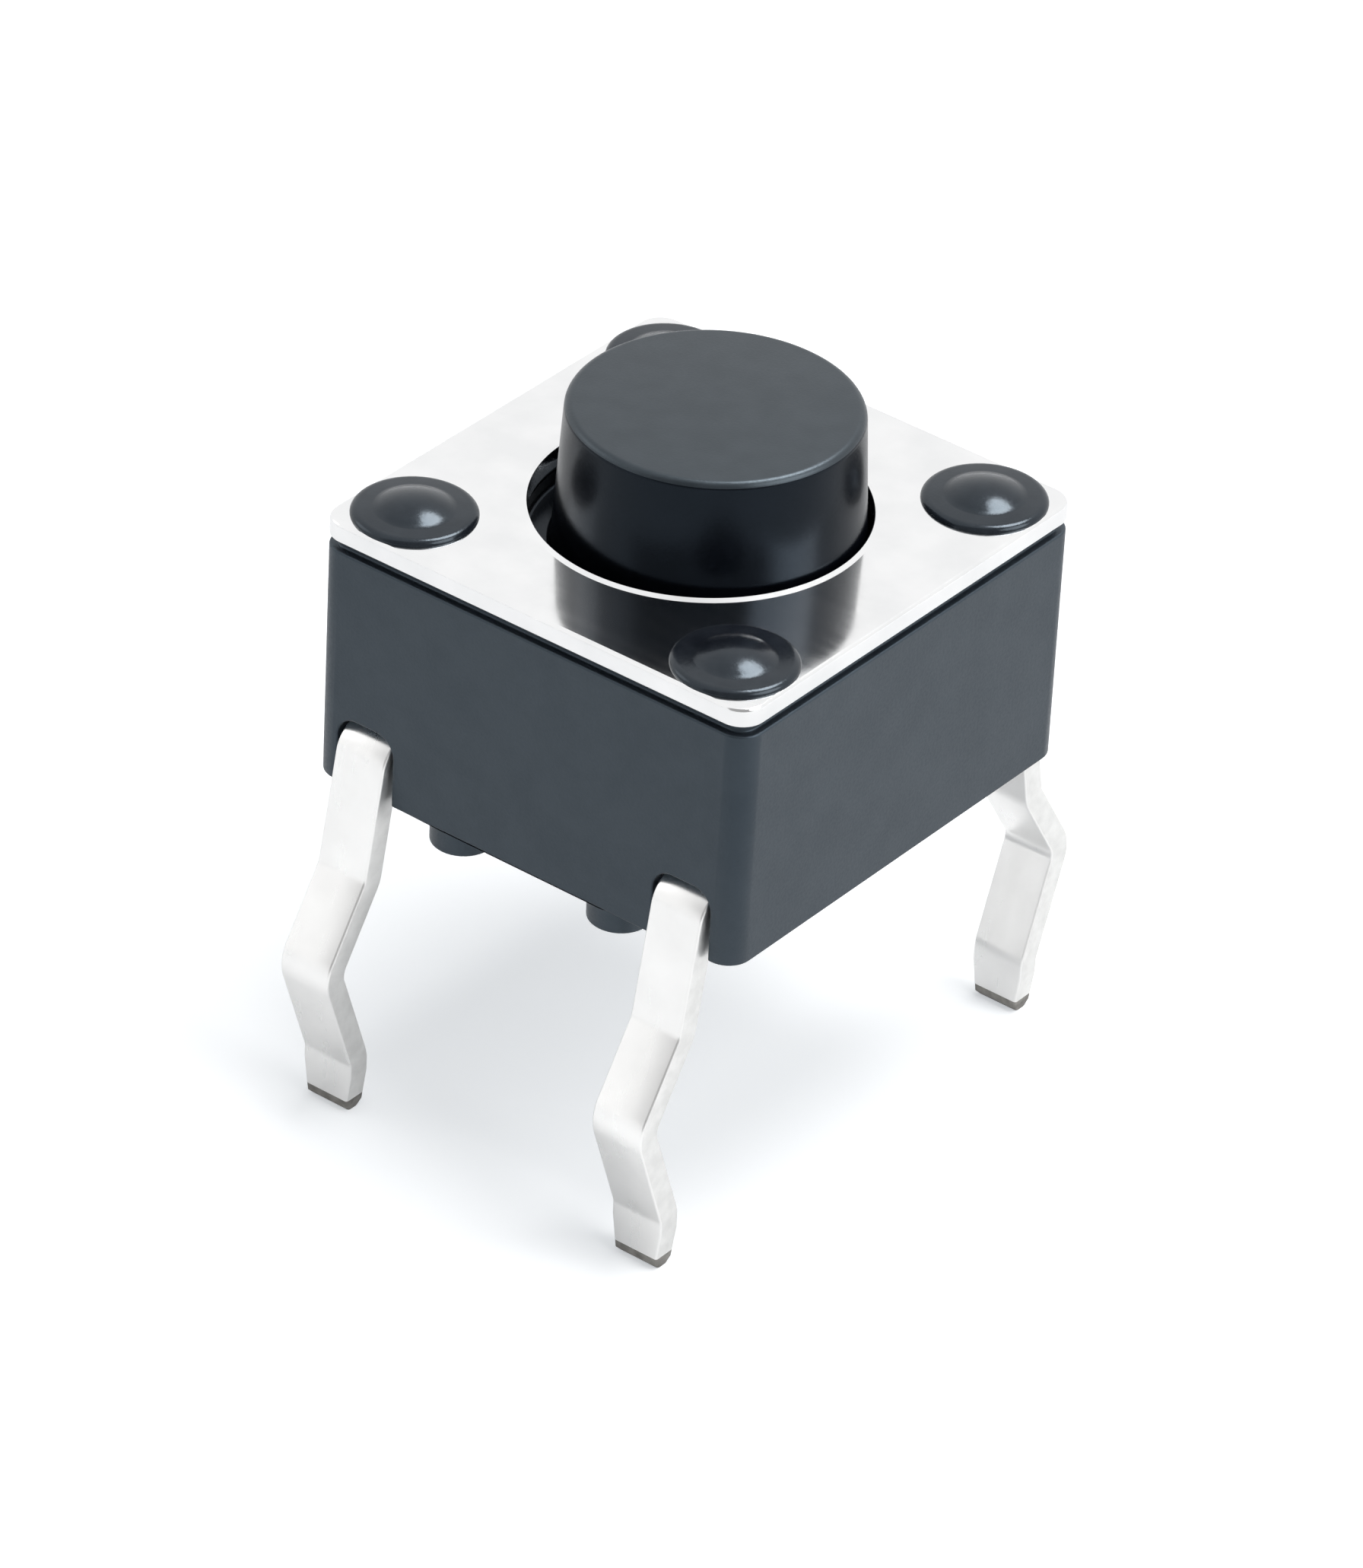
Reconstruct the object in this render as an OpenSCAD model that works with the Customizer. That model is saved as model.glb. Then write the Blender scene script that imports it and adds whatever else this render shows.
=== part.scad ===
// Square tactile push button switch with four kinked through-hole legs.
// The origin is on the board, midway between the legs, with +Z up and the legs leaving by the -Y and +Y faces.

/* [Housing] */
// Side of the square housing and of the cover plate
body_w = 6.0; // [5:0.1:8]
// Height of the housing, from its underside to the cover plate
base_h = 3.1; // [2.7:0.1:4.5]
// Radius of the four upright corners
corner_r = 0.3; // [0.1:0.05:0.5]
// Thinnest wall between the round cavity and a side of the housing
wall = 0.7; // [0.55:0.05:0.85]

/* [Standoffs] */
// Diameter of a seat standoff
standoff_d = 0.75; // [0.4:0.05:0.8]
// Height of a seat standoff, which is the gap under the housing
standoff_h = 0.3; // [0.1:0.05:0.6]
// Gap between a standoff and the notch beside it
standoff_gap = 0.35; // [0.1:0.05:0.6]
// Distance from a housing face to a standoff's middle
standoff_inset = 0.4; // [0.4:0.05:0.8]

/* [Leg notches] */
// Gap on each side of a leg in its notch
notch_gap = 0.05; // [0.02:0.01:0.1]
// Room in a notch above its leg
notch_room = 0.07; // [0.02:0.01:0.2]
// Depth of a notch into the housing
notch_depth = 0.5; // [0.45:0.05:0.55]
// Radius of a notch's two top corners
notch_r = 0.25; // [0.1:0.05:0.3]

/* [Cavity floor] */
// Thickness of the moulding that covers the contact strips on the cavity's floor
floor_cover = 0.15; // [0.1:0.05:0.3]
// Height of the four seats of the dome above the cavity's floor
seat_h = 0.05; // [0.03:0.01:0.1]
// Diameter of one seat of the dome
seat_d = 0.6; // [0.4:0.05:0.7]
// Angle from the X axis to a seat of the dome
seat_angle = 35; // [30:1:42]

/* [Cover plate] */
// Thickness of the cover plate
plate_t = 0.25; // [0.15:0.05:0.4]
// Radial gap between the button and the plate's hole
hole_gap = 0.16; // [0.1:0.01:0.25]

/* [Staked pegs] */
// Distance from a side of the housing to a peg's middle
peg_inset = 0.75; // [0.73:0.01:0.8]
// Diameter of a peg's shank
peg_d = 1.0; // [0.6:0.05:1.05]
// Radial gap between a peg and its hole in the plate
peg_gap = 0.03; // [0.02:0.01:0.06]
// Distance that a peg's staked head reaches past its shank
head_lip = 0.22; // [0.15:0.01:0.22]
// Height of a staked head above the plate
head_h = 0.1; // [0.08:0.01:0.2]
// Width of the rim round a head's shallow dish
head_rim = 0.12; // [0.05:0.01:0.2]
// Depth of that dish
head_dish = 0.05; // [0.02:0.01:0.06]
// Diameter of the small pip in the middle of the dish
pip_d = 0.3; // [0.1:0.05:0.5]

/* [Button] */
// Height of the button's top above the cover plate
button_rise = 1.35; // [0.6:0.05:4]
// Distance that the button's side leans in, from the plate up to its top
button_draft = 0.1; // [0:0.01:0.2]
// Radius of the button's top edge
button_edge_r = 0.1; // [0.05:0.01:0.3]
// Width of the flange that stands out round the button under the plate
flange_lip = 0.38; // [0.3:0.01:0.5]
// Radial gap between the flange and the cavity
flange_gap = 0.15; // [0.1:0.01:0.2]
// Thickness of the flange
flange_t = 0.6; // [0.3:0.05:0.8]
// Diameter of the nub where it leaves the flange
nub_d = 1.6; // [1.2:0.1:2.4]
// Diameter of the nub's flat end, which presses the dome
nub_tip_d = 1.0; // [0.6:0.1:1.2]
// Travel of the button
travel = 0.25; // [0.15:0.01:0.35]

/* [Snap dome] */
// Radial gap between the dome's rim and the cavity
dome_gap = 0.25; // [0.15:0.05:0.35]
// Thickness of the dome
dome_t = 0.08; // [0.05:0.01:0.12]

/* [Contact strips] */
// Thickness of the strips and legs
lead_t = 0.3; // [0.2:0.05:0.3]
// Width of a leg
lead_w = 0.7; // [0.5:0.05:0.7]
// Height of the strips' underside above the housing's underside
strip_h = 0.5; // [0.3:0.05:0.5]
// Width of the tongue that runs to the middle
tongue_w = 1.0; // [0.8:0.05:1.2]
// Diameter of the contact face that stands up from the tongue under the dome
contact_d = 0.8; // [0.5:0.05:0.8]
// Height of that contact face above the cavity's floor
contact_h = 0.15; // [0.12:0.01:0.3]
// Width of an arm that carries a seat of the dome
arm_w = 0.7; // [0.7:0.05:0.8]

/* [Legs] */
// Distance from a side of the housing to a leg's middle
lead_inset = 0.75; // [0.7:0.05:0.9]
// Distance that a leg's outer face stands out of the housing's face at the notch
lead_proud = 0.05; // [0:0.01:0.15]
// Distance that a leg leans outward between its notch and its kink
lead_lean = 0.3; // [0:0.05:0.4]
// Distance from the housing's face out to the middle of a leg's knee
knee_out = 0.84; // [0.5:0.01:1]
// Distance from the housing's face out to the middle of a leg's tip
tip_out = 0.35; // [0.1:0.05:0.5]
// Depth of the kink's beginning under the board's top face
kink_z = 0.65; // [0.55:0.05:0.9]
// Depth of the knee under the board's top face
knee_z = 1.65; // [1.55:0.05:1.9]
// Depth of the kink's end under the board's top face
kink_end_z = 3.0; // [2.7:0.05:3.1]
// Depth of the tips under the board's top face
tip_z = 3.7; // [3.5:0.1:5]
// Width of a leg's tip
tip_w = 0.56; // [0.3:0.02:0.6]
// Length over which a leg narrows to its tip
tip_taper = 0.5; // [0.2:0.05:0.6]
// Height and depth of the chamfer on the two broad faces of a tip
tip_chamfer = 0.07; // [0.02:0.01:0.1]
// Radius of the bend in the notch, along the leg's middle
bend_r = 0.25; // [0.2:0.01:0.3]
// Radius of the three bends of the kink, along the leg's middle
kink_r = 0.35; // [0.2:0.01:0.45]

/* [Hidden] */
$fn = 48;
// Straight pieces that make up one bend of a leg
bend_steps = 6;
// Steps that make up the button's rounded edge
edge_steps = 6;
// Extra depth of a cutting tool past the face that it cuts
cut = 0.2;

half_w = body_w / 2;
base_z = standoff_h;
plate_z = base_z + base_h;
plate_top_z = plate_z + plate_t;
button_top_z = plate_top_z + button_rise;
cavity_r = half_w - wall;
peg_x = half_w - peg_inset;
head_r = peg_d / 2 + head_lip;

strip_x = half_w - lead_inset;
strip_z = base_z + strip_h;
strip_top_z = strip_z + lead_t;
strip_half_l = half_w - notch_depth;
notch_w = lead_w + 2 * notch_gap;
notch_h = strip_h + lead_t + notch_room;
standoff_x = strip_x - notch_w / 2 - standoff_gap - standoff_d / 2;
standoff_y = half_w - standoff_inset;

flange_r = cavity_r - flange_gap;
flange_z = plate_z - flange_t;
button_r = flange_r - flange_lip;
button_top_r = button_r - button_draft;
hole_r = button_r + hole_gap;

floor_z = strip_top_z + floor_cover;
seat_z = floor_z + seat_h;
contact_z = floor_z + contact_h;
dome_r = cavity_r - dome_gap;
dome_rise = contact_z + travel - seat_z;
dome_inner_r = (pow(dome_r, 2) + pow(dome_rise, 2)) / (2 * dome_rise);
dome_top_z = seat_z + dome_rise + dome_t;
seat_x = (dome_r - seat_d / 4) * cos(seat_angle);
seat_y = (dome_r - seat_d / 4) * sin(seat_angle);

function unit(v) = v / norm(v);

function left_of(v) = [-v[1], v[0]];

// Points of a round bend of radius r at corner b, on the way from a to c
function bend(a, b, c, r) =
    let (u = unit(a - b), w = unit(c - b), half = acos(u * w) / 2)
    let (middle = b + unit(u + w) * r / sin(half), turn = 180 - 2 * half)
    let (first = b + u * r / tan(half) - middle, last = b + w * r / tan(half) - middle)
    [for (i = [0 : bend_steps])
        let (share = i / bend_steps)
        middle + (first * sin((1 - share) * turn) + last * sin(share * turn)) / sin(turn)];

// Point beside a path's point i, at distance d to the left of the path
function beside(path, i, d) =
    let (last = len(path) - 1)
    let (into = left_of(unit(path[max(i, 1)] - path[max(i, 1) - 1])))
    let (out_of = left_of(unit(path[min(i, last - 1) + 1] - path[min(i, last - 1)])))
    let (normal = unit(into + out_of))
    path[i] + normal * d / (normal * into);

// Outline of a strip of thickness t that follows a path and is chamfered at the path's last point
function strip_outline(path, t, chamfer) =
    let (last = len(path) - 1, half_t = [for (i = [0 : last]) t / 2 - (i == last ? chamfer : 0)])
    concat(
        [for (i = [0 : last]) beside(path, i, half_t[i])],
        [for (i = [last : -1 : 0]) beside(path, i, -half_t[i])]
    );

// Middle line of one half of a strip and its leg, in Y and Z, from the part's middle out to the leg's tip
leg_corners = [
    [0, strip_z + lead_t / 2],
    [half_w + lead_proud - lead_t / 2, strip_z + lead_t / 2],
    [half_w + lead_proud - lead_t / 2 + lead_lean, -kink_z],
    [half_w + knee_out, -knee_z],
    [half_w + tip_out, -kink_end_z],
    [half_w + tip_out, -tip_z]
];
leg_path = concat(
    [leg_corners[0]],
    bend(leg_corners[0], leg_corners[1], leg_corners[2], bend_r),
    bend(leg_corners[1], leg_corners[2], leg_corners[3], kink_r),
    bend(leg_corners[2], leg_corners[3], leg_corners[4], kink_r),
    bend(leg_corners[3], leg_corners[4], leg_corners[5], kink_r),
    [leg_corners[5] + [0, tip_chamfer], leg_corners[5]]
);

module rounded_square(w, r) {
    square([w, w - 2 * r], center = true);
    square([w - 2 * r, w], center = true);
    for (x = [-1, 1], y = [-1, 1]) {
        translate([x * (w / 2 - r), y * (w / 2 - r)]) circle(r);
    }
}

module at_pegs() {
    for (x = [-1, 1], y = [-1, 1]) {
        translate([x * peg_x, y * peg_x, 0]) children();
    }
}

// The two seats of the dome on one side, 1 for +X and -1 for -X
module at_seats(side) {
    for (y = [-1, 1]) {
        translate([side * seat_x, y * seat_y, 0]) children();
    }
}

// A notch for a leg, cut into the face at +Y
module notch() {
    translate([0, half_w + cut, base_z]) rotate([90, 0, 0]) linear_extrude(notch_depth + cut) {
        translate([-notch_w / 2, -cut]) square([notch_w, notch_h - notch_r + cut]);
        translate([-notch_w / 2 + notch_r, 0]) square([notch_w - 2 * notch_r, notch_h]);
        for (x = [-1, 1]) {
            translate([x * (notch_w / 2 - notch_r), notch_h - notch_r]) circle(notch_r);
        }
    }
}

// A peg's shank through the plate, with its end staked into a dished head
module staked_peg() {
    cylinder(d = peg_d, h = plate_t);
    translate([0, 0, plate_t]) rotate_extrude() polygon([
        [0, 0],
        [head_r, 0],
        [head_r, head_h / 2],
        [head_r - head_h / 2, head_h],
        [head_r - head_rim, head_h],
        [head_r - head_rim - head_dish, head_h - head_dish],
        [pip_d / 2, head_h - head_dish],
        [pip_d / 4, head_h],
        [0, head_h]
    ]);
}

// The straight bar that joins a strip's two legs, from notch to notch and past that by extra
module strip_bar(x, extra) {
    half_l = strip_half_l + extra;
    translate([x - lead_w / 2, -half_l, strip_z]) cube([lead_w, 2 * half_l, lead_t]);
}

// The flat part of the centre strip inside the housing
module centre_strip_flat(extra = 0) {
    strip_bar(-strip_x, extra);
    translate([-strip_x, -tongue_w / 2, strip_z]) cube([strip_x, tongue_w, lead_t]);
    translate([0, 0, strip_z]) cylinder(d = tongue_w, h = lead_t);
}

// The flat part of the outer strip inside the housing
module outer_strip_flat(extra = 0) {
    strip_bar(strip_x, extra);
    at_seats(1) translate([0, 0, strip_z]) {
        cylinder(d = arm_w, h = lead_t);
        translate([0, -arm_w / 2, 0]) cube([strip_x - seat_x, arm_w, lead_t]);
    }
}

// The bosses that stand up out of the strips through the cavity's floor
module centre_boss() {
    translate([0, 0, strip_top_z]) cylinder(d = contact_d, h = contact_z - strip_top_z);
}

module seat_bosses() {
    at_seats(1) translate([0, 0, strip_top_z]) cylinder(d = seat_d, h = seat_z - strip_top_z);
}

// One leg at the +Y face, from the notch's back wall to its narrowed tip
module leg() {
    intersection() {
        rotate([90, 0, 90]) translate([0, 0, -lead_w / 2]) linear_extrude(lead_w) {
            polygon(strip_outline(leg_path, lead_t, tip_chamfer));
        }
        translate([0, body_w, 0]) rotate([90, 0, 0]) linear_extrude(body_w - strip_half_l) polygon([
            [-tip_w / 2, -tip_z],
            [tip_w / 2, -tip_z],
            [lead_w / 2, tip_taper - tip_z],
            [lead_w / 2, strip_top_z],
            [-lead_w / 2, strip_top_z],
            [-lead_w / 2, tip_taper - tip_z]
        ]);
    }
}

module leg_pair(x) {
    translate([x, 0, 0]) leg();
    translate([x, 0, 0]) mirror([0, 1, 0]) leg();
}

module base() {
    color([0.16, 0.17, 0.18]) {
        difference() {
            translate([0, 0, base_z]) linear_extrude(base_h) rounded_square(body_w, corner_r);
            translate([0, 0, floor_z]) cylinder(r = cavity_r, h = plate_z - floor_z + cut);
            for (x = [-strip_x, strip_x]) {
                translate([x, 0, 0]) notch();
                translate([x, 0, 0]) mirror([0, 1, 0]) notch();
            }
            centre_strip_flat(cut);
            centre_boss();
            outer_strip_flat(cut);
            seat_bosses();
        }
        at_seats(-1) translate([0, 0, floor_z]) cylinder(d = seat_d, h = seat_h);
        for (x = [-1, 1], y = [-1, 1]) {
            translate([x * standoff_x, y * standoff_y, 0]) cylinder(d = standoff_d, h = standoff_h);
        }
        at_pegs() translate([0, 0, plate_z]) staked_peg();
    }
}

module cover_plate() {
    color([0.86, 0.87, 0.88]) difference() {
        translate([0, 0, plate_z]) linear_extrude(plate_t) rounded_square(body_w, corner_r);
        translate([0, 0, plate_z - cut]) cylinder(r = hole_r, h = plate_t + 2 * cut);
        at_pegs() translate([0, 0, plate_z - cut]) cylinder(r = peg_d / 2 + peg_gap, h = plate_t + 2 * cut);
    }
}

module plunger() {
    edge = [for (i = [0 : edge_steps])
        let (angle = 90 * i / edge_steps)
        [button_top_r - button_edge_r + button_edge_r * cos(angle),
         button_top_z - button_edge_r + button_edge_r * sin(angle)]];
    color([0.13, 0.14, 0.15]) rotate_extrude() polygon(concat(
        [
            [0, dome_top_z],
            [nub_tip_d / 2, dome_top_z],
            [nub_d / 2, flange_z],
            [flange_r, flange_z],
            [flange_r, plate_z],
            [button_r, plate_z],
            [button_r, plate_top_z]
        ],
        edge,
        [[0, button_top_z]]
    ));
}

module snap_dome() {
    middle_z = seat_z + dome_rise - dome_inner_r;
    color([0.75, 0.76, 0.74]) intersection() {
        difference() {
            translate([0, 0, middle_z]) sphere(dome_inner_r + dome_t);
            translate([0, 0, middle_z]) sphere(dome_inner_r);
        }
        translate([0, 0, seat_z]) cylinder(r = dome_r, h = dome_rise + dome_t);
    }
}

module centre_contact() {
    color([0.80, 0.79, 0.75]) {
        centre_strip_flat();
        centre_boss();
        leg_pair(-strip_x);
    }
}

module outer_contact() {
    color([0.80, 0.79, 0.75]) {
        outer_strip_flat();
        seat_bosses();
        leg_pair(strip_x);
    }
}

base();
cover_plate();
plunger();
snap_dome();
centre_contact();
outer_contact();
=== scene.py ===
import math

import bmesh
import bpy
from mathutils import Matrix, Vector
from mathutils.geometry import tessellate_polygon


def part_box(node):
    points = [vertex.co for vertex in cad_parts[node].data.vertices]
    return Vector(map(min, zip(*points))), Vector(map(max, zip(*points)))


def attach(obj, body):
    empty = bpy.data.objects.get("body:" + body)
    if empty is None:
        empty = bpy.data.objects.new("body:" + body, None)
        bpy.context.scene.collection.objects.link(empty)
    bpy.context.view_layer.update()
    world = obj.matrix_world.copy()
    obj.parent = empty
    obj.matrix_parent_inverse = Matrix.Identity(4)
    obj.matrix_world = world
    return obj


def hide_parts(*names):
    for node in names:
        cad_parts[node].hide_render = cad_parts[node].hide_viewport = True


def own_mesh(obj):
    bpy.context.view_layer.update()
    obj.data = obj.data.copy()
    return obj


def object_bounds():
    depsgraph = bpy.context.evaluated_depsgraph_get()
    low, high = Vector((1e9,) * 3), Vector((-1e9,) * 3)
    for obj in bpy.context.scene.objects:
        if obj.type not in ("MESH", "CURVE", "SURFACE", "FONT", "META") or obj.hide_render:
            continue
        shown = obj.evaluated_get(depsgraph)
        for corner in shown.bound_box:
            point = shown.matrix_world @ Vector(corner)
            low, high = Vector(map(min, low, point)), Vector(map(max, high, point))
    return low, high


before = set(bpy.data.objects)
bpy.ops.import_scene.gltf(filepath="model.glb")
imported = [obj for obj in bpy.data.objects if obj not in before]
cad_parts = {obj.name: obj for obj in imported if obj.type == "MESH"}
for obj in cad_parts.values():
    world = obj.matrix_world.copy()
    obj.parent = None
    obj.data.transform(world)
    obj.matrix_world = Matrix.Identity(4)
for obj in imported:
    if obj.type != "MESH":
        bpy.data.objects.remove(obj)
cadLow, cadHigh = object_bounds()
mm = 0.001

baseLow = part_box("base")[0]
plateLow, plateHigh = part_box("cover_plate")
plungerLow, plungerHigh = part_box("plunger")
domeLow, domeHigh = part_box("snap_dome")
halfSide = plateHigh.x
floorHeight = cadLow.z
nearlyZero = 1e-9
nearlyFlat = 0.9999     # upright part of a flat face's normal
overlap = 0.1 * mm      # how far solids that are joined run into each other


# Mesh helpers

sharpAngle = 40         # degrees; edges sharper than this stay hard
normalWeight = 80       # how much more a large face counts in the smooth shading
filletSteps = 8


def pieceFromFaces(name, points, faces):
    mesh = bpy.data.meshes.new(name)
    mesh.from_pydata([tuple(p) for p in points], [], faces)
    mesh.validate()
    piece = bpy.data.objects.new(name, mesh)
    bpy.context.collection.objects.link(piece)
    fixNormals(piece)
    return piece


def fixNormals(piece):
    work = bmesh.new()
    work.from_mesh(piece.data)
    bmesh.ops.recalc_face_normals(work, faces=work.faces)
    work.to_mesh(piece.data)
    work.free()


def squareOutline(half, radius, steps):
    # a square with round corners, anticlockwise from +X
    outline = []
    for quarter in range(4):
        middle = Matrix.Rotation(quarter * math.pi / 2, 2) @ Vector((half - radius, half - radius))
        for step in range(steps + 1):
            angle = (quarter + step / steps) * math.pi / 2
            outline.append(middle + radius * Vector((math.cos(angle), math.sin(angle))))
    return outline


def circleOutline(x, y, radius, steps):
    turns = [2 * math.pi * i / steps for i in range(steps)]
    return [Vector((x + radius * math.cos(a), y + radius * math.sin(a))) for a in turns]


def stack(name, rings):
    # closed solid from rings of points, one after the other
    count = len(rings[0])
    points = [p for ring in rings for p in ring]
    faces = [tuple(reversed(range(count))), tuple(range(len(points) - count, len(points)))]
    for first in range(0, len(points) - count, count):
        faces += [(first + i, first + (i + 1) % count, first + count + (i + 1) % count, first + count + i)
                  for i in range(count)]
    return pieceFromFaces(name, points, faces)


def prism(name, outline, low, high):
    return stack(name, [[(p.x, p.y, z) for p in outline] for z in (low, high)])


def block(name, low, high):
    corners = [Vector((low[0], low[1])), Vector((high[0], low[1])),
               Vector((high[0], high[1])), Vector((low[0], high[1]))]
    return prism(name, corners, low[2], high[2])


def lathe(name, profile, steps):
    # profile is a list of (radius, height) from the axis round to the axis again
    points, rings = [], []
    for radius, height in profile:
        if radius < nearlyZero:
            rings.append([len(points)] * steps)
            points.append((0, 0, height))
        else:
            rings.append(list(range(len(points), len(points) + steps)))
            points += [(radius * math.cos(2 * math.pi * i / steps),
                        radius * math.sin(2 * math.pi * i / steps), height) for i in range(steps)]
    faces = []
    for ring, after in zip(rings, rings[1:]):
        for i in range(steps):
            j = (i + 1) % steps
            corners = list(dict.fromkeys((ring[i], ring[j], after[j], after[i])))
            if len(corners) > 2:
                faces.append(corners)
    return pieceFromFaces(name, points, faces)


def roundedCorner(before, corner, after, radius, steps=filletSteps):
    # points of a fillet at a corner, on the way from before to after
    toBefore, toAfter = (before - corner).normalized(), (after - corner).normalized()
    half = toBefore.angle(toAfter) / 2
    middle = corner + (toBefore + toAfter).normalized() * radius / math.sin(half)
    first = corner + toBefore * radius / math.tan(half) - middle
    last = corner + toAfter * radius / math.tan(half) - middle
    turn = math.pi - 2 * half
    shares = [i / steps for i in range(steps + 1)]
    return [middle + (first * math.sin((1 - s) * turn) + last * math.sin(s * turn)) / math.sin(turn)
            for s in shares]


def finalMesh(piece):
    # keeps what the modifiers make
    depsgraph = bpy.context.evaluated_depsgraph_get()
    mesh = bpy.data.meshes.new_from_object(piece.evaluated_get(depsgraph))
    piece.modifiers.clear()
    piece.data = mesh


def combine(piece, operation, tools):
    for tool in tools:
        modifier = piece.modifiers.new(operation.lower(), "BOOLEAN")
        modifier.operation = operation
        modifier.solver = "EXACT"
        modifier.object = tool
        finalMesh(piece)
        bpy.data.objects.remove(tool)


def softenEdges(piece, width, segments):
    bevel = piece.modifiers.new("softEdges", "BEVEL")
    bevel.width = width
    bevel.segments = segments
    bevel.limit_method = "ANGLE"
    bevel.angle_limit = math.radians(sharpAngle)
    finalMesh(piece)
    smoothFaces(piece)


def smoothFaces(piece):
    piece.data.shade_smooth()
    piece.data.set_sharp_from_angle(angle=math.radians(sharpAngle))
    normals = piece.modifiers.new("faceNormals", "WEIGHTED_NORMAL")
    normals.keep_sharp = True
    normals.weight = normalWeight


# Material helpers

cloudDetail, grainDetail, streakDetail = 3, 4, 5
colourReach = (0.35, 0.65)      # part of a noise's range that goes from dark to light
valueReach = (0.3, 0.7)         # part of it that goes from the low to the high value


def newMaterial(name):
    material = bpy.data.materials.new(name)
    material.use_nodes = True
    nodes, links = material.node_tree.nodes, material.node_tree.links
    return material, nodes, links, nodes["Principled BSDF"]


def grain(nodes, links, scale, detail, stretch=(1, 1, 1)):
    # noise in the part's own metres, stretched along the axes as asked
    place = nodes.new("ShaderNodeTexCoord")
    mapping = nodes.new("ShaderNodeMapping")
    mapping.inputs["Scale"].default_value = stretch
    noise = nodes.new("ShaderNodeTexNoise")
    noise.inputs["Scale"].default_value = scale
    noise.inputs["Detail"].default_value = detail
    links.new(place.outputs["Object"], mapping.inputs["Vector"])
    links.new(mapping.outputs["Vector"], noise.inputs["Vector"])
    return noise


def colourBetween(nodes, links, noise, dark, light):
    ramp = nodes.new("ShaderNodeValToRGB")
    for element, position, colour in zip(ramp.color_ramp.elements, colourReach, (dark, light)):
        element.position = position
        element.color = (*colour, 1)
    links.new(noise.outputs["Fac"], ramp.inputs["Fac"])
    return ramp.outputs["Color"]


def valueBetween(nodes, links, noise, low, high):
    scale = nodes.new("ShaderNodeMapRange")
    scale.inputs["From Min"].default_value, scale.inputs["From Max"].default_value = valueReach
    scale.inputs["To Min"].default_value = low
    scale.inputs["To Max"].default_value = high
    links.new(noise.outputs["Fac"], scale.inputs["Value"])
    return scale.outputs["Result"]


def bump(nodes, links, noise, depth, shader):
    node = nodes.new("ShaderNodeBump")
    node.inputs["Strength"].default_value = 1
    node.inputs["Distance"].default_value = depth
    links.new(noise.outputs["Fac"], node.inputs["Height"])
    links.new(node.outputs["Normal"], shader.inputs["Normal"])


def mouldedPlastic(name, look):
    material, nodes, links, shader = newMaterial(name)
    cloud = grain(nodes, links, look["cloudScale"], cloudDetail)
    fine = grain(nodes, links, look["grainScale"], grainDetail)
    colour = colourBetween(nodes, links, cloud, look["dark"], look["light"])
    links.new(colour, shader.inputs["Base Color"])
    links.new(valueBetween(nodes, links, fine, *look["roughness"]), shader.inputs["Roughness"])
    shader.inputs["Specular IOR Level"].default_value = look["specular"]
    # painted light colour: the sheen is tinted bluish to stand in for the bluish light that the plastic
    # reflects
    shader.inputs["Specular Tint"].default_value = (*look["reflectedLightTint"], 1)
    bump(nodes, links, fine, look["grainDepth"], shader)
    return material


def sheetMetal(name, look):
    material, nodes, links, shader = newMaterial(name)
    streaks = grain(nodes, links, look["streakScale"], streakDetail, look["streakStretch"])
    cloud = grain(nodes, links, look["cloudScale"], cloudDetail)
    links.new(colourBetween(nodes, links, cloud, look["dark"], look["light"]), shader.inputs["Base Color"])
    shader.inputs["Metallic"].default_value = 1
    links.new(valueBetween(nodes, links, streaks, *look["roughness"]), shader.inputs["Roughness"])
    bump(nodes, links, streaks, look["streakDepth"], shader)
    return material


# Housing: moulded block with its cavity, notches, standoffs and staked pegs

housing = {
    "bottom": 0.30 * mm,            # underside of the block, above the standoffs' feet
    "cornerRadius": 0.30 * mm,
    "cornerSteps": 10,
    "wall": 0.70 * mm,              # thinnest wall round the cavity
    "cavityFloor": 1.25 * mm,
    "cavitySteps": 96,
    "cavityReach": 1 * mm,          # how far the cavity's cutter goes past the block's top
    "notchWidth": 0.80 * mm,
    "notchTop": 1.17 * mm,
    "notchDepth": 0.50 * mm,
    "notchRadius": 0.25 * mm,
    "legInset": 0.75 * mm,          # from a side of the block to a leg's middle
    "standoffRadius": 0.375 * mm,
    "standoffSteps": 40,
    "standoffX": 1.125 * mm,
    "standoffInset": 0.40 * mm,
    "pegInset": 0.75 * mm,
    "shankRadius": 0.50 * mm,
    "headRadius": 0.72 * mm,
    "headSink": 0.004 * mm,         # head's underside below the plate's top, so that no light passes
    "shoulder": (0.10 * mm, 0.07 * mm),     # width and height of the head's round shoulder
    "headRise": 0.03 * mm,          # low dome above the shoulder
    "pipRadius": 0.46 * mm,         # small round pip left in the middle
    "pipHeight": 0.12 * mm,
    "headSteps": 56,
    "seatRadius": 0.30 * mm,
    "seatSteps": 32,
    "seatTop": 1.30 * mm,
    "seatPlace": (1.556 * mm, 1.090 * mm),
    "seam": 0.105 * mm,             # dark step under the cover plate
    "edge": 0.04 * mm,              # softness of the moulded edges
    "edgeSegments": 3,
}
housingLook = {
    "dark": (0.009, 0.012, 0.017),
    "light": (0.016, 0.020, 0.026),
    "cloudScale": 2200,
    "grainScale": 26000,
    "grainDepth": 0.0016 * mm,
    "roughness": (0.36, 0.46),
    "specular": 0.66,
    # bluish sheen tint: painted light colour
    "reflectedLightTint": (0.78, 1.0, 1.20),
}
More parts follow.
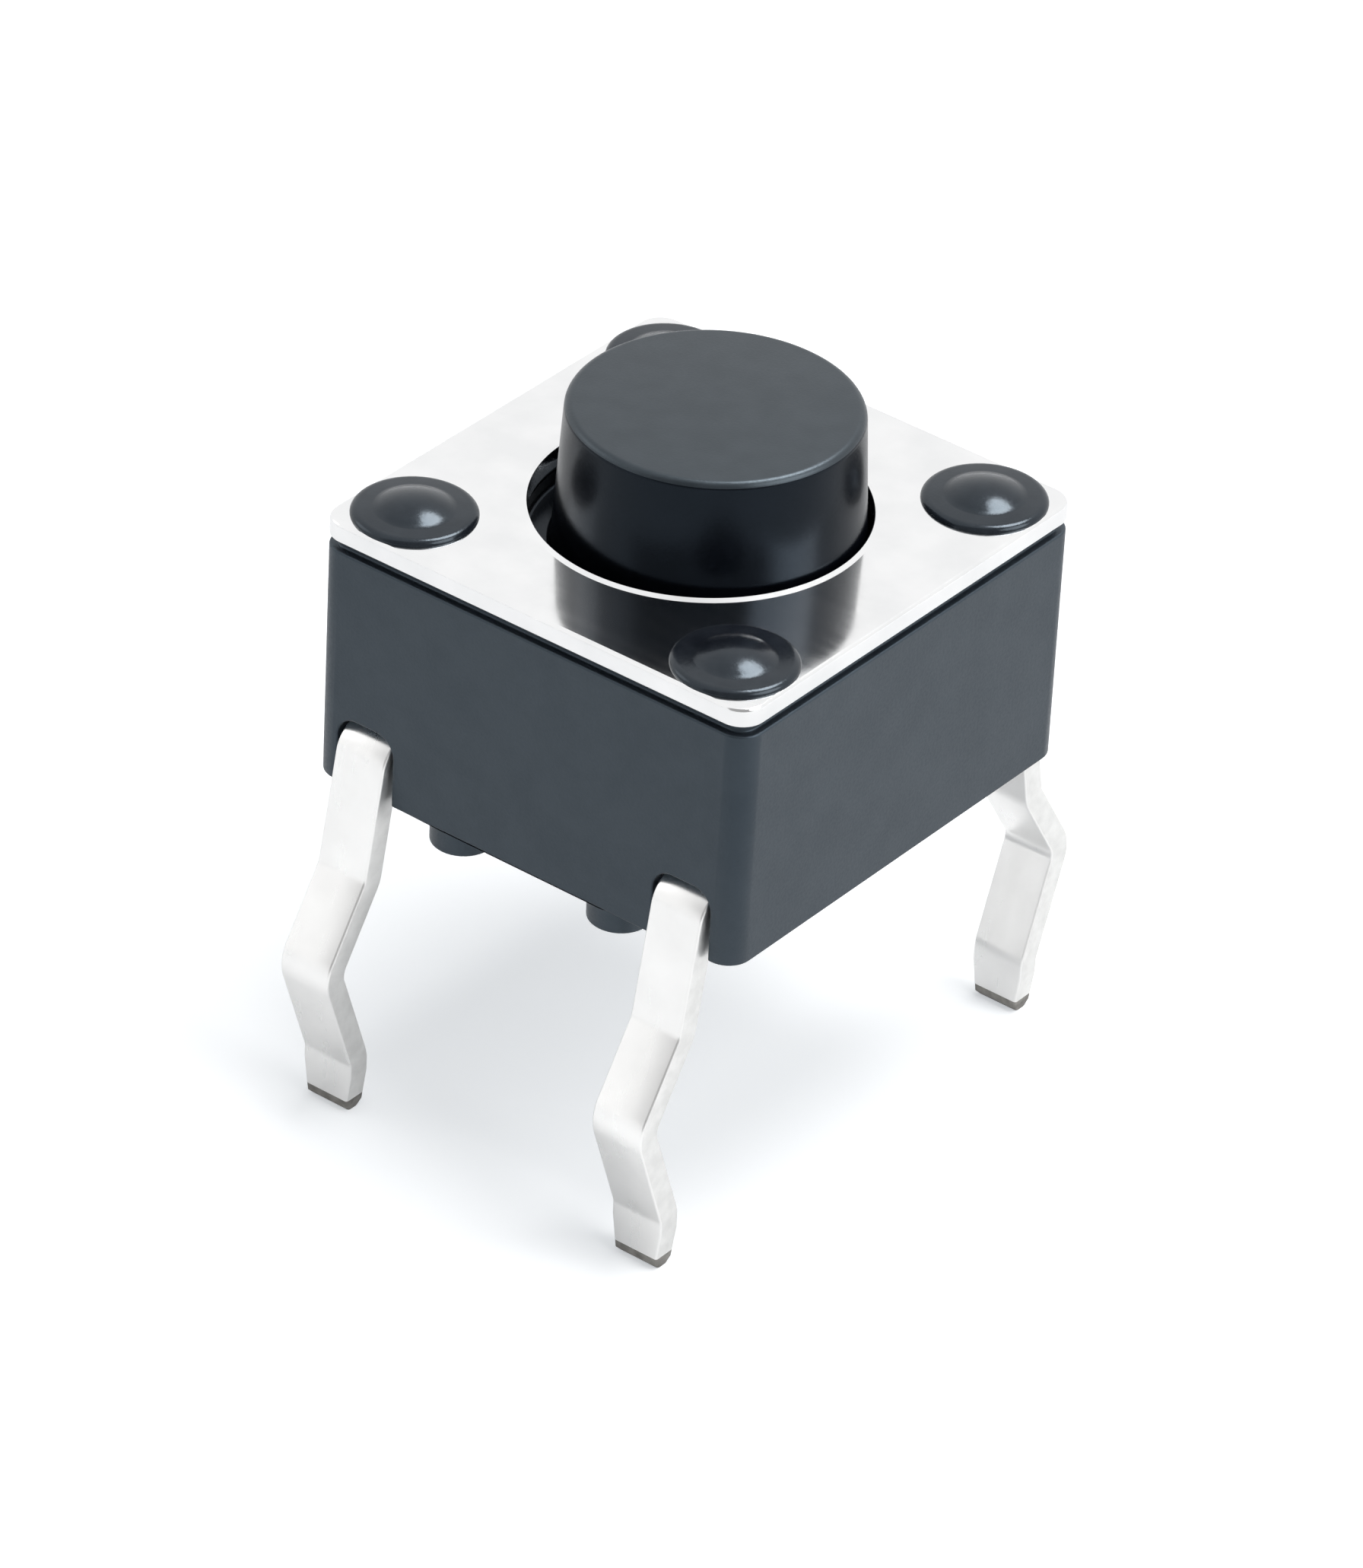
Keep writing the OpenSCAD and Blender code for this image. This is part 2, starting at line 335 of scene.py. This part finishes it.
stakedLook = {                      # glossier where the hot tool pressed the pegs
    "dark": (0.008, 0.010, 0.014),
    "light": (0.014, 0.017, 0.022),
    "cloudScale": 5000,
    "grainScale": 26000,
    "grainDepth": 0.0010 * mm,
    "roughness": (0.15, 0.21),
    "specular": 0.45,
    # bluish sheen tint: painted light colour
    "reflectedLightTint": (0.84, 1.0, 1.14),
}


def notchCutter(x, side):
    radius, half = housing["notchRadius"], housing["notchWidth"] / 2
    top = housing["notchTop"]
    below = housing["bottom"] - housing["notchDepth"]
    corners = [Vector((half, below)), Vector((half, top)), Vector((-half, top)), Vector((-half, below))]
    outline = [corners[0]]
    outline += roundedCorner(*corners[:3], radius)
    outline += roundedCorner(*corners[1:], radius)
    outline.append(corners[3])
    depths = (halfSide - housing["notchDepth"], halfSide + housing["notchDepth"])
    return stack("notchCutter", [[(x + p.x, side * y, p.y) for p in outline] for y in depths])


def stakedHeadProfile():
    head, pip = housing["headRadius"], housing["pipRadius"]
    wide, tall = housing["shoulder"]
    foot, shank = plateHigh.z - housing["headSink"], plateLow.z - overlap
    profile = [(0, shank), (housing["shankRadius"], shank), (housing["shankRadius"], foot), (head, foot)]
    shares = [step / filletSteps for step in range(filletSteps + 1)]
    for share in shares:            # round shoulder
        angle = share * math.pi / 2
        profile.append((head - wide * (1 - math.cos(angle)), plateHigh.z + tall * math.sin(angle)))
    for share in shares[1:]:        # low dome up to the pip
        radius = head - wide + (pip - head + wide) * share
        rise = housing["headRise"] * (1 - (radius / (head - wide)) ** 2)
        profile.append((radius, plateHigh.z + tall + rise))
    pipFoot = profile[-1][1]
    for share in shares[1:]:        # pip
        radius = pip * (1 - share)
        profile.append((radius, pipFoot + housing["pipHeight"] * (1 - (radius / pip) ** 2)))
    return profile


def makeHousing():
    seam, radius = housing["seam"], housing["cornerRadius"]
    levels = ((0, housing["bottom"]), (0, plateLow.z - seam), (seam, plateLow.z - seam), (seam, plateLow.z))
    shell = stack("housingBase", [
        [(p.x, p.y, z) for p in squareOutline(halfSide - inset, radius - inset, housing["cornerSteps"])]
        for inset, z in levels])
    cavity = prism("cavity", circleOutline(0, 0, halfSide - housing["wall"], housing["cavitySteps"]),
                   housing["cavityFloor"], plateLow.z + housing["cavityReach"])
    legX = halfSide - housing["legInset"]
    cutters = [cavity] + [notchCutter(x, side) for x in (-legX, legX) for side in (-1, 1)]
    combine(shell, "DIFFERENCE", cutters)
    standoffY = halfSide - housing["standoffInset"]
    feet = []
    for x in (-1, 1):
        for y in (-1, 1):
            foot = circleOutline(x * housing["standoffX"], y * standoffY, housing["standoffRadius"],
                                 housing["standoffSteps"])
            feet.append(prism("standoff", foot, baseLow.z, housing["bottom"] + overlap))
    for y in (-1, 1):
        seatX, seatY = housing["seatPlace"]
        seat = circleOutline(-seatX, y * seatY, housing["seatRadius"], housing["seatSteps"])
        feet.append(prism("domeSeat", seat, housing["cavityFloor"] - overlap, housing["seatTop"]))
    combine(shell, "UNION", feet)
    softenEdges(shell, housing["edge"], housing["edgeSegments"])
    pegX = halfSide - housing["pegInset"]
    heads = []
    for x in (-1, 1):
        for y in (-1, 1):
            head = lathe("stakedHead", stakedHeadProfile(), housing["headSteps"])
            head.data.transform(Matrix.Translation((x * pegX, y * pegX, 0)))
            heads.append(head)
    shell.data.materials.append(mouldedPlastic("housingPlastic", housingLook))
    shell.data.materials.append(mouldedPlastic("stakedPlastic", stakedLook))
    joinPieces(shell, heads, 1)
    smoothFaces(shell)
    return shell


def joinPieces(piece, others, slot):
    work = bmesh.new()
    work.from_mesh(piece.data)
    for other in others:
        for face in other.data.polygons:
            face.material_index = slot
        work.from_mesh(other.data)
        bpy.data.objects.remove(other)
    work.to_mesh(piece.data)
    work.free()


# Cover plate: stamped sheet with a round hole and four peg holes

coverPlate = {
    "holeRadius": 1.93 * mm,
    "holeSteps": 144,
    "lipWidth": 0.062 * mm,         # low lip that the punch raised round the hole
    "lipHeight": 0.032 * mm,
    "lipCrest": 0.012 * mm,
    "pegHoleRadius": 0.53 * mm,
    "pegHoleSteps": 40,
    "edge": 0.045 * mm,             # rolled edge left by the stamping
    "edgeSteps": 6,
    "crestSteps": 3,
}
coverPlateLook = {
    "dark": (0.86, 0.865, 0.87),
    "light": (0.92, 0.922, 0.925),
    "cloudScale": 1400,
    "streakScale": 5200,
    "streakStretch": (0.12, 1, 1),
    "streakDepth": 0.0002 * mm,
    "roughness": (0.08, 0.13),
}


def rolledEdge():
    # way round the sheet's edge from its underside to its top, as insets and heights
    roll, steps = coverPlate["edge"], coverPlate["edgeSteps"]
    turns = [step / steps * math.pi / 2 for step in range(steps + 1)]
    under = [(roll * (1 - math.sin(a)), plateLow.z + roll * (1 - math.cos(a))) for a in turns]
    over = [(roll * (1 - math.cos(a)), plateHigh.z - roll * (1 - math.sin(a))) for a in turns]
    return under + over


def lippedEdge():
    # same underside, but the top rises to a low lip at the hole
    crest, crown = coverPlate["lipCrest"], plateHigh.z + coverPlate["lipHeight"]
    steps, crestSteps = coverPlate["edgeSteps"], coverPlate["crestSteps"]
    turns = [step / crestSteps * math.pi / 2 for step in range(crestSteps + 1)]
    top = [(crest * (1 - math.cos(a)), crown - crest * (1 - math.sin(a))) for a in turns]
    for step in range(1, steps + 1):
        share = step / steps
        top.append((crest + (coverPlate["lipWidth"] - crest) * share,
                    crown - coverPlate["lipHeight"] * share))
    return rolledEdge()[:steps + 1] + top


def sheetFromRims(name, rims):
    # each rim is a list of rings of points that leads round one edge of the sheet
    points, faces, flats = [], [], ([], [])
    for rings in rims:
        first, count = len(points), len(rings[0])
        for ring in rings:
            points += ring
        for r in range(len(rings) - 1):
            for i in range(count):
                here, there = first + r * count, first + (r + 1) * count
                j = (i + 1) % count
                faces.append((here + i, here + j, there + j, there + i))
        flats[0].append(range(first, first + count))
        flats[1].append(range(len(points) - count, len(points)))
    for loops in flats:
        places = [i for loop in loops for i in loop]
        for corners in tessellate_polygon([[Vector(points[i]) for i in loop] for loop in loops]):
            faces.append([places[i] for i in corners])
    return pieceFromFaces(name, points, faces)


def holeRim(x, y, radius, steps, edge):
    return [[(p.x, p.y, z) for p in circleOutline(x, y, radius + inset, steps)] for inset, z in edge]


def makeCoverPlate():
    radius, steps = housing["cornerRadius"], housing["cornerSteps"]
    rims = [[[(p.x, p.y, z) for p in squareOutline(halfSide - inset, radius - inset, steps)]
             for inset, z in rolledEdge()]]
    rims.append(holeRim(0, 0, coverPlate["holeRadius"], coverPlate["holeSteps"], lippedEdge()))
    pegX = halfSide - housing["pegInset"]
    for x in (-pegX, pegX):
        for y in (-pegX, pegX):
            rims.append(holeRim(x, y, coverPlate["pegHoleRadius"], coverPlate["pegHoleSteps"],
                                rolledEdge()))
    plate = sheetFromRims("coverPlate", rims)
    smoothFaces(plate)
    for face in plate.data.polygons:    # keeps the reflections in the flat faces straight
        if abs(face.normal.z) > nearlyFlat:
            face.use_smooth = False
    plate.data.materials.append(sheetMetal("coverSteel", coverPlateLook))
    return plate


# Plunger: the button, its flange under the plate and the nub that presses the dome

plunger = {
    "sideRadius": 1.77 * mm,        # where the button leaves the plate
    "topRadius": 1.67 * mm,
    "topEdge": 0.10 * mm,
    "flangeThickness": 0.60 * mm,
    "nubRadius": 0.80 * mm,
    "nubTipRadius": 0.50 * mm,
    "smallEdge": 0.05 * mm,
    "turnSteps": 128,
    "grooveWidth": 0.30 * mm,       # relief in the flange round the button's foot
    "grooveDepth": 0.22 * mm,
    "sidePlay": (0.115 * mm, 0.03 * mm),   # the loose button lies towards one side of its hole
}
plungerTopLook = {                  # textured top
    "dark": (0.009, 0.011, 0.014),
    "light": (0.016, 0.019, 0.023),
    "cloudScale": 2600,
    "grainScale": 30000,
    "grainDepth": 0.0012 * mm,
    "roughness": (0.30, 0.38),
    "specular": 0.64,
    # bluish sheen tint: painted light colour
    "reflectedLightTint": (0.82, 1.0, 1.14),
}
plungerSideShadeLook = {                 # smoother sides, with painted shade: a far darker colour and weaker sheen than the top keep them dark
    "dark": (0.001, 0.0013, 0.0024),
    "light": (0.0024, 0.003, 0.005),
    "cloudScale": 2600,
    "grainScale": 30000,
    "grainDepth": 0.0005 * mm,
    "roughness": (0.20, 0.26),
    "specular": 0.20,
    # bluish sheen tint: painted light colour
    "reflectedLightTint": (0.76, 1.0, 1.28),
}


def makePlunger():
    bottom, top = plungerLow.z, plungerHigh.z
    flangeRadius = plungerHigh.x
    flangeBottom = plateLow.z - plunger["flangeThickness"]
    grooveEnd = plunger["sideRadius"] + plunger["grooveWidth"]
    grooveBottom = plateLow.z - plunger["grooveDepth"]
    corners = [Vector(c) for c in (
        (0, bottom), (plunger["nubTipRadius"], bottom), (plunger["nubRadius"], flangeBottom),
        (flangeRadius, flangeBottom), (flangeRadius, plateLow.z), (grooveEnd, plateLow.z),
        (grooveEnd, grooveBottom), (plunger["sideRadius"], grooveBottom),
        (plunger["topRadius"], top), (0, top))]
    radii = [plunger["smallEdge"]] * (len(corners) - 3) + [plunger["topEdge"]]
    profile = [corners[0]]
    for i, radius in enumerate(radii):
        profile += roundedCorner(*corners[i:i + 3], radius)
    profile.append(corners[-1])
    button = lathe("plungerButton", [tuple(p) for p in profile], plunger["turnSteps"])
    button.data.transform(Matrix.Translation((*plunger["sidePlay"], 0)))
    smoothFaces(button)
    button.data.materials.append(mouldedPlastic("plungerSidePaintedShade", plungerSideShadeLook))
    button.data.materials.append(mouldedPlastic("plungerTop", plungerTopLook))
    # the top faces get the top plastic; the rest keep the darker painted-shade copy of it
    for face in button.data.polygons:
        if face.center.z > top - plunger["topEdge"] / 2:
            face.material_index = 1
    return button


# Snap dome: thin spring disc under the button, made at rest; the real one flattens as the button goes down

snapDome = {
    "thickness": 0.08 * mm,
    "steps": 72,
    "rings": 16,
    "pressedShare": 0.40,           # height that is left when the button is right down
}
snapDomeLook = {
    "dark": (0.60, 0.60, 0.58),
    "light": (0.74, 0.74, 0.71),
    "cloudScale": 2000,
    "streakScale": 9000,
    "streakStretch": (1, 0.15, 1),
    "streakDepth": 0.0004 * mm,
    "roughness": (0.20, 0.32),
}


def makeSnapDome():
    rim, seat = domeHigh.x, domeLow.z
    rise = domeHigh.z - seat - snapDome["thickness"]
    inner = (rim * rim + rise * rise) / (2 * rise)
    middle = seat + rise - inner
    shares = [i / snapDome["rings"] for i in range(snapDome["rings"] + 1)]
    under = [(rim * s, middle + math.sqrt(inner ** 2 - (rim * s) ** 2)) for s in shares]
    outer = inner + snapDome["thickness"]
    over = [(rim * s, middle + math.sqrt(outer ** 2 - (rim * s) ** 2)) for s in reversed(shares)]
    dome = lathe("snapDome", under + over, snapDome["steps"])
    smoothFaces(dome)
    dome.data.materials.append(sheetMetal("domeSteel", snapDomeLook))
    return dome


# Contact strips: one stamped strip with two kinked legs on each side

strip = {
    "thickness": 0.30 * mm,
    "width": 0.70 * mm,
    "middleHeight": 0.95 * mm,      # middle of the strip inside the housing
    "proud": 0.05 * mm,             # leg's outer face past the housing's face at the notch
    "lean": 0.30 * mm,
    "kneeOut": 0.84 * mm,
    "tipOut": 0.35 * mm,
    "kinkDepth": 0.65 * mm,
    "kneeDepth": 1.65 * mm,
    "kinkEndDepth": 3.00 * mm,
    "bendRadius": 0.25 * mm,
    "kinkRadius": 0.35 * mm,
    "bendSteps": 10,
    "tipWidth": 0.56 * mm,
    "tipTaper": 0.50 * mm,
    "tipChamfer": 0.07 * mm,
    "tipDarkBand": 0.16 * mm,           # height of the darker band at the leg's tip
    "edge": 0.03 * mm,              # softness of the stamped edges
    "edgeSteps": 3,
    "sharpestMitre": 0.5,           # least share of the thickness that a bend's middle keeps
    "cutFacing": 0.8,               # sideways part of a cut edge's normal
    "tongueWidth": 1.00 * mm,
    "contactRadius": 0.40 * mm,
    "contactTop": 1.40 * mm,
    "contactSteps": 48,
    "armWidth": 0.70 * mm,
    "armSteps": 40,
}
platingLook = {
    "dark": (0.93, 0.928, 0.92),
    "light": (0.98, 0.978, 0.97),
    "cloudScale": 1700,
    "streakScale": 6000,
    "streakStretch": (1, 0.2, 0.2),
    "streakDepth": 0.0002 * mm,
    "roughness": (0.26, 0.34),
}
cutEdgeLook = {
    "dark": (0.80, 0.80, 0.79),
    "light": (0.88, 0.88, 0.87),
    "cloudScale": 5000,
    "streakScale": 12000,
    "streakStretch": (0.25, 1, 1),
    "streakDepth": 0.0003 * mm,
    "roughness": (0.42, 0.52),
}
# darker at the leg's tip, over the band that ends at the floor
darkTipLook = {
    "dark": (0.20, 0.19, 0.18),
    "light": (0.34, 0.33, 0.31),
    "cloudScale": 6000,
    "streakScale": 12000,
    "streakStretch": (1, 0.25, 1),
    "streakDepth": 0.0015 * mm,
    "roughness": (0.40, 0.55),
}


def legPath():
    # middle line of half a strip, in Y and Z, from the part's middle to a leg's tip
    face = halfSide + strip["proud"] - strip["thickness"] / 2
    corners = [Vector(c) for c in (
        (0, strip["middleHeight"]), (face, strip["middleHeight"]),
        (face + strip["lean"], -strip["kinkDepth"]), (halfSide + strip["kneeOut"], -strip["kneeDepth"]),
        (halfSide + strip["tipOut"], -strip["kinkEndDepth"]), (halfSide + strip["tipOut"], floorHeight))]
    radii = [strip["bendRadius"]] + [strip["kinkRadius"]] * 3
    path = []
    for i, radius in enumerate(radii):
        path += roundedCorner(*corners[i:i + 3], radius, strip["bendSteps"])
    tip = corners[-1]
    path += [tip + Vector((0, strip[height])) for height in ("tipTaper", "tipDarkBand", "tipChamfer")]
    path.append(tip)
    return path


def sectionOutline(width, thickness, edge):
    # rounded rectangle, width along X and thickness across the strip
    points = []
    for quarter, (sx, sy) in enumerate(((1, 1), (-1, 1), (-1, -1), (1, -1))):
        for step in range(strip["edgeSteps"] + 1):
            angle = (quarter + step / strip["edgeSteps"]) * math.pi / 2
            points.append((sx * (width / 2 - edge) + edge * math.cos(angle),
                           sy * (thickness / 2 - edge) + edge * math.sin(angle)))
    return points


def sweepStrip(name, x):
    half = legPath()
    path = [Vector((-p.x, p.y)) for p in reversed(half)] + half
    rings = []
    for i, place in enumerate(path):
        into = path[max(i, 1)] - path[max(i, 1) - 1]
        outOf = path[min(i, len(path) - 2) + 1] - path[min(i, len(path) - 2)]
        across = (into.normalized() + outOf.normalized()).normalized()
        normal = Vector((-across.y, across.x))
        stretch = 1 / max(strip["sharpestMitre"], normal.dot(Vector((-into.y, into.x)).normalized()))
        toTip = place.y - floorHeight
        share = min(1, toTip / strip["tipTaper"])
        width = strip["tipWidth"] + (strip["width"] - strip["tipWidth"]) * share
        chamfer = strip["tipChamfer"] if toTip < nearlyZero else 0
        rings.append([])
        for acrossX, acrossT in sectionOutline(width, strip["thickness"] - 2 * chamfer, strip["edge"]):
            spot = place + normal * acrossT * stretch
            rings[-1].append((x + acrossX, spot.x, spot.y))
    return stack(name, rings)


def dressStrip(piece):
    plating = sheetMetal("legPlating", platingLook)
    cutEdge = sheetMetal("legCutEdge", cutEdgeLook)
    darkTip = sheetMetal("legDarkTip", darkTipLook)
    for material in (plating, cutEdge, darkTip):
        piece.data.materials.append(material)
    for face in piece.data.polygons:
        # faces near the floor get the darker tip colour
        if face.center.z < floorHeight + strip["tipDarkBand"]:
            face.material_index = 2
        elif abs(face.normal.x) > strip["cutFacing"]:
            face.material_index = 1
    smoothFaces(piece)


def stripLevels():
    return strip["middleHeight"] - strip["thickness"] / 2, strip["middleHeight"] + strip["thickness"] / 2


def makeCentreContact():
    x = -(halfSide - housing["legInset"])
    piece = sweepStrip("centreContact", x)
    low, high = stripLevels()
    half, steps = strip["tongueWidth"] / 2, strip["contactSteps"]
    tongue = block("tongue", (x, -half, low), (0, half, high))
    tongueEnd = prism("tongueEnd", circleOutline(0, 0, half, steps), low, high)
    face = prism("contactFace", circleOutline(0, 0, strip["contactRadius"], steps), high - overlap,
                 strip["contactTop"])
    combine(piece, "UNION", [tongue, tongueEnd, face])
    dressStrip(piece)
    return piece


def makeOuterContact():
    x = halfSide - housing["legInset"]
    piece = sweepStrip("outerContact", x)
    low, high = stripLevels()
    half = strip["armWidth"] / 2
    seatX, seatY = housing["seatPlace"]
    for y in (-seatY, seatY):
        arm = block("arm", (seatX, y - half, low), (x, y + half, high))
        armEnd = prism("armEnd", circleOutline(seatX, y, half, strip["armSteps"]), low, high)
        seat = prism("seat", circleOutline(seatX, y, housing["seatRadius"], housing["seatSteps"]),
                     high - overlap, housing["seatTop"])
        combine(piece, "UNION", [arm, armEnd, seat])
    dressStrip(piece)
    return piece


# Build every piece and hang it on its body

housingPiece = makeHousing()
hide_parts("base")
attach(housingPiece, "housing")
print("housing made")

platePiece = makeCoverPlate()
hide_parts("cover_plate")
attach(platePiece, "housing")
print("cover plate made")

buttonPiece = makePlunger()
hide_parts("plunger")
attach(buttonPiece, "button")
print("plunger made")

domePiece = makeSnapDome()
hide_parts("snap_dome")
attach(domePiece, "housing")
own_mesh(domePiece)
print("snap dome made")

for make, node in ((makeCentreContact, "centre_contact"), (makeOuterContact, "outer_contact")):
    contactPiece = make()
    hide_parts(node)
    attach(contactPiece, "housing")
print("contact strips made")


# Floor, light and camera

studio = {
    "floorHalf": 400 * mm,
    "floorColour": (0.80, 0.80, 0.80),
    "floorLift": 0.48,              # what the camera sees on the floor over its own light
    "metalShare": 0.38,             # share of that lift that metal and plastic see
    "liftColour": (0.96, 1.0, 1.04),
    "floorFade": (25 * mm, 130 * mm),       # from the middle, where the floor turns to white
    "fill": 0.29,                   # light from all round
    "frontShare": 0.40,             # share of it, and of the white room, left on the camera's side
    "frontHeight": 30,              # elevation of the middle of that dim side
    "frontReach": (0.56, 0.74),     # how far it reaches, as cosines
    "lamps": (
        # name, azimuth, elevation, distance, size, watts, what it gives
        ("overheadSoftbox", 150, 77, 260 * mm, 160 * mm, 0.41, "light"),
        ("highlightSoftbox", 170, 65, 260 * mm, 120 * mm, 0.40, "highlight"),
        ("rightSoftbox", 100, 38, 260 * mm, 200 * mm, 0.32, "both"),
        ("leftSoftbox", -70, 30, 300 * mm, 160 * mm, 0.06, "both"),
    ),
}
photoCamera = {
    "azimuth": 36.655,
    "elevation": 33.551,
    "roll": 3.092,
    "distance": 102.881 * mm,
    "aimHeight": 0.053 * mm,
    "focalPixels": 11976.4,
    "middlePixel": (902.08, 1020.69),
    "photoSize": (1792, 2061),
    "clip": (1 * mm, 5000 * mm),
}


def directionOf(azimuth, elevation):
    # azimuth is 0 towards -Y and 90 towards +X
    a, e = math.radians(azimuth), math.radians(elevation)
    return Vector((math.sin(a) * math.cos(e), -math.cos(a) * math.cos(e), math.sin(e)))


def makeFloor():
    half = studio["floorHalf"]
    corners = [(-half, -half, floorHeight), (half, -half, floorHeight),
               (half, half, floorHeight), (-half, half, floorHeight)]
    floor = pieceFromFaces("studioFloor", corners, [(0, 1, 2, 3)])
    if floor.data.polygons[0].normal.z < 0:
        floor.data.flip_normals()
    material = bpy.data.materials.new("floorPaper")
    material.use_nodes = True
    nodes, links = material.node_tree.nodes, material.node_tree.links
    nodes.clear()
    paper = nodes.new("ShaderNodeBsdfDiffuse")
    paper.inputs["Color"].default_value = (*studio["floorColour"], 1)
    lift = nodes.new("ShaderNodeEmission")
    lift.inputs["Color"].default_value = (*studio["liftColour"], 1)
    path = nodes.new("ShaderNodeLightPath")
    strength = nodes.new("ShaderNodeMath")
    strength.operation = "MULTIPLY"
    place = nodes.new("ShaderNodeTexCoord")
    reach = nodes.new("ShaderNodeVectorMath")
    reach.operation = "LENGTH"
    fade = nodes.new("ShaderNodeMapRange")
    fade.interpolation_type = "SMOOTHSTEP"
    fade.inputs["From Min"].default_value, fade.inputs["From Max"].default_value = studio["floorFade"]
    fade.inputs["To Min"].default_value = studio["floorLift"]
    fade.inputs["To Max"].default_value = 1
    seen = nodes.new("ShaderNodeMath")
    seen.operation = "MULTIPLY_ADD"
    seen.inputs[1].default_value = studio["metalShare"]
    add = nodes.new("ShaderNodeAddShader")
    geometry = nodes.new("ShaderNodeNewGeometry")
    clear = nodes.new("ShaderNodeBsdfTransparent")
    fromBelow = nodes.new("ShaderNodeMixShader")     # not seen from below
    out = nodes.new("ShaderNodeOutputMaterial")
    links.new(path.outputs["Is Glossy Ray"], seen.inputs[0])
    links.new(path.outputs["Is Camera Ray"], seen.inputs[2])
    links.new(place.outputs["Object"], reach.inputs[0])
    links.new(reach.outputs["Value"], fade.inputs["Value"])
    links.new(fade.outputs["Result"], strength.inputs[1])
    links.new(seen.outputs[0], strength.inputs[0])
    links.new(strength.outputs[0], lift.inputs["Strength"])
    links.new(paper.outputs[0], add.inputs[0])
    links.new(lift.outputs[0], add.inputs[1])
    links.new(geometry.outputs["Backfacing"], fromBelow.inputs["Fac"])
    links.new(add.outputs[0], fromBelow.inputs[1])
    links.new(clear.outputs[0], fromBelow.inputs[2])
    links.new(fromBelow.outputs[0], out.inputs["Surface"])
    floor.data.materials.append(material)


def makeWorld():
    # white for the camera; for metal and plastic white too, but dim on the camera's side of the room
    world = bpy.data.worlds.new("studioWorld")
    bpy.context.scene.world = world
    world.use_nodes = True
    world.cycles.sampling_method = "NONE"   # so that every ray to the world knows what it came from
    nodes, links = world.node_tree.nodes, world.node_tree.links
    nodes.clear()
    place = nodes.new("ShaderNodeTexCoord")
    toCamera = nodes.new("ShaderNodeVectorMath")
    toCamera.operation = "DOT_PRODUCT"
    toCamera.inputs[1].default_value = directionOf(photoCamera["azimuth"], studio["frontHeight"])
    shade = nodes.new("ShaderNodeMapRange")
    shade.interpolation_type = "SMOOTHSTEP"
    shade.inputs["From Min"].default_value, shade.inputs["From Max"].default_value = studio["frontReach"]
    shade.inputs["To Min"].default_value = 1
    shade.inputs["To Max"].default_value = studio["frontShare"]
    path = nodes.new("ShaderNodeLightPath")
    level = nodes.new("ShaderNodeMix")
    level.data_type = "FLOAT"
    level.inputs["A"].default_value = studio["fill"]
    level.inputs["B"].default_value = 1
    shaded = nodes.new("ShaderNodeMath")
    shaded.operation = "MULTIPLY"
    seen = nodes.new("ShaderNodeMix")
    seen.data_type = "FLOAT"
    seen.inputs["B"].default_value = 1
    background = nodes.new("ShaderNodeBackground")
    background.inputs["Color"].default_value = (1, 1, 1, 1)
    out = nodes.new("ShaderNodeOutputWorld")
    links.new(place.outputs["Generated"], toCamera.inputs[0])
    links.new(toCamera.outputs["Value"], shade.inputs["Value"])
    links.new(path.outputs["Is Glossy Ray"], level.inputs["Factor"])
    links.new(level.outputs["Result"], shaded.inputs[0])
    links.new(shade.outputs["Result"], shaded.inputs[1])
    links.new(shaded.outputs[0], seen.inputs["A"])
    links.new(path.outputs["Is Camera Ray"], seen.inputs["Factor"])
    links.new(seen.outputs["Result"], background.inputs["Strength"])
    links.new(background.outputs[0], out.inputs["Surface"])


def makeLamps():
    for name, azimuth, elevation, distance, size, watts, gives in studio["lamps"]:
        light = bpy.data.lights.new(name, "AREA")
        light.shape = "DISK"
        light.size = size
        light.energy = watts
        lamp = bpy.data.objects.new(name, light)
        direction = directionOf(azimuth, elevation)
        lamp.location = direction * distance
        lamp.rotation_mode = "QUATERNION"
        lamp.rotation_quaternion = direction.to_track_quat("Z", "Y")
        lamp.visible_camera = False
        lamp.visible_glossy = gives != "light"      # keeps its disc out of the plate seen from above
        lamp.visible_diffuse = gives != "highlight"
        bpy.context.collection.objects.link(lamp)


def makeCamera():
    data = bpy.data.cameras.new("photoCamera")
    camera = bpy.data.objects.new("photoCamera", data)
    back = directionOf(photoCamera["azimuth"], photoCamera["elevation"])
    right = (-back).cross(Vector((0, 0, 1))).normalized()
    up = right.cross(-back)
    roll = math.radians(photoCamera["roll"])
    rolledRight = math.cos(roll) * right + math.sin(roll) * up
    rolledUp = -math.sin(roll) * right + math.cos(roll) * up
    turn = Matrix((rolledRight, rolledUp, back)).transposed()
    camera.rotation_mode = "QUATERNION"
    camera.rotation_quaternion = turn.to_quaternion()
    camera.location = back * photoCamera["distance"] + Vector((0, 0, photoCamera["aimHeight"]))
    width, height = photoCamera["photoSize"]
    longSide = max(width, height)
    data.lens = photoCamera["focalPixels"] / longSide * data.sensor_width
    data.shift_x = (width / 2 - photoCamera["middlePixel"][0]) / longSide
    data.shift_y = (photoCamera["middlePixel"][1] - height / 2) / longSide
    data.clip_start, data.clip_end = photoCamera["clip"]
    bpy.context.collection.objects.link(camera)
    bpy.context.scene.camera = camera


makeFloor()
makeWorld()
makeLamps()
makeCamera()
bpy.context.scene.view_settings.view_transform = "Standard"
print("studio made")
